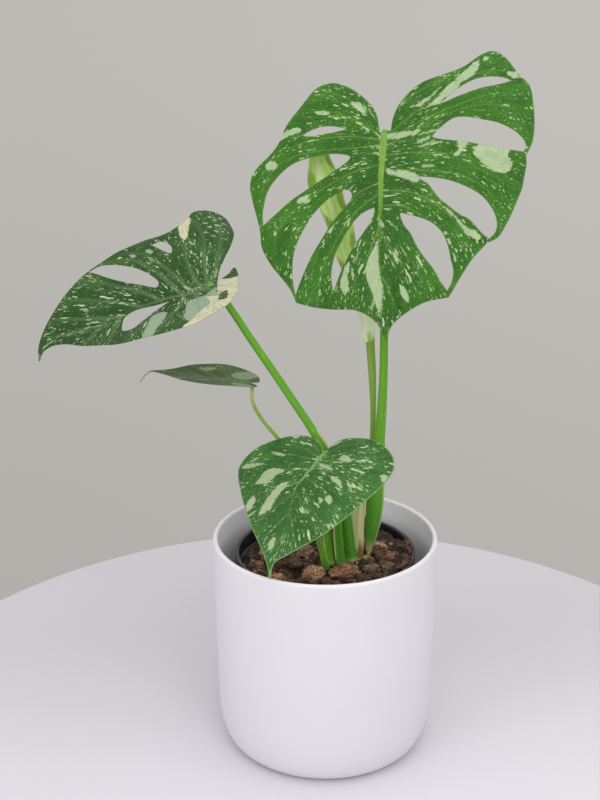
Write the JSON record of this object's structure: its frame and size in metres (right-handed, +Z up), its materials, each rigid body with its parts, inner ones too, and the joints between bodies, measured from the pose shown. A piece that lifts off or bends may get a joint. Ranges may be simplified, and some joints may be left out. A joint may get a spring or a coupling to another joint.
{
  "type": "potted monstera plant",
  "caption": "Young variegated split-leaf plant in a black nursery pot, which stands inside a plain white straight-sided cover pot with a rounded foot",
  "frame": {"origin": "middle of the cover pot's flat base, on the surface that it stands on", "axes": "+Z up; -Y is the front, the side that the big leaf faces; +X is to the right seen from the front"},
  "size_m": [0.2831, 0.149, 0.4299],
  "materials": {
    "cover_pot": "matte",
    "nursery_pot": "satin",
    "potting_mix": "matte",
    "tan_bark": "matte",
    "red_bark": "matte",
    "grey_bark": "matte",
    "dark_bark": "matte",
    "stalk": "satin",
    "pale_stalk": "satin",
    "big_leaf_blade": "satin",
    "left_leaf_blade": "satin",
    "front_leaf_blade": "satin",
    "side_leaf_blade": "satin",
    "new_leaf": "satin",
    "dried_sheath": "matte"
  },
  "bodies": {
    "root": {"cover_pot": "cover_pot", "nursery_pot": "nursery_pot", "potting_mix": "potting_mix", "bark_chip_01": "tan_bark", "bark_chip_02": "red_bark", "bark_chip_03": "grey_bark", "bark_chip_04": "dark_bark", "bark_chip_05": "tan_bark", "bark_chip_06": "red_bark", "bark_chip_07": "grey_bark", "bark_chip_08": "dark_bark", "bark_chip_09": "tan_bark", "bark_chip_10": "red_bark", "bark_chip_11": "grey_bark", "bark_chip_12": "dark_bark", "bark_chip_13": "tan_bark", "bark_chip_14": "red_bark", "bark_chip_15": "grey_bark", "bark_chip_16": "dark_bark", "bark_chip_17": "tan_bark", "bark_chip_18": "red_bark", "bark_chip_19": "grey_bark", "stem_base": "stalk", "big_leaf_stalk": "stalk", "big_leaf_blade": "big_leaf_blade", "left_leaf_stalk": "stalk", "left_leaf_blade": "left_leaf_blade", "front_leaf_stalk": "stalk", "front_leaf_blade": "front_leaf_blade", "side_leaf_stalk": "pale_stalk", "side_leaf_blade": "side_leaf_blade", "new_leaf_stalk": "pale_stalk", "new_leaf": "new_leaf", "young_stem": "pale_stalk", "dried_sheath": "dried_sheath"}
  },
  "joints": []
}
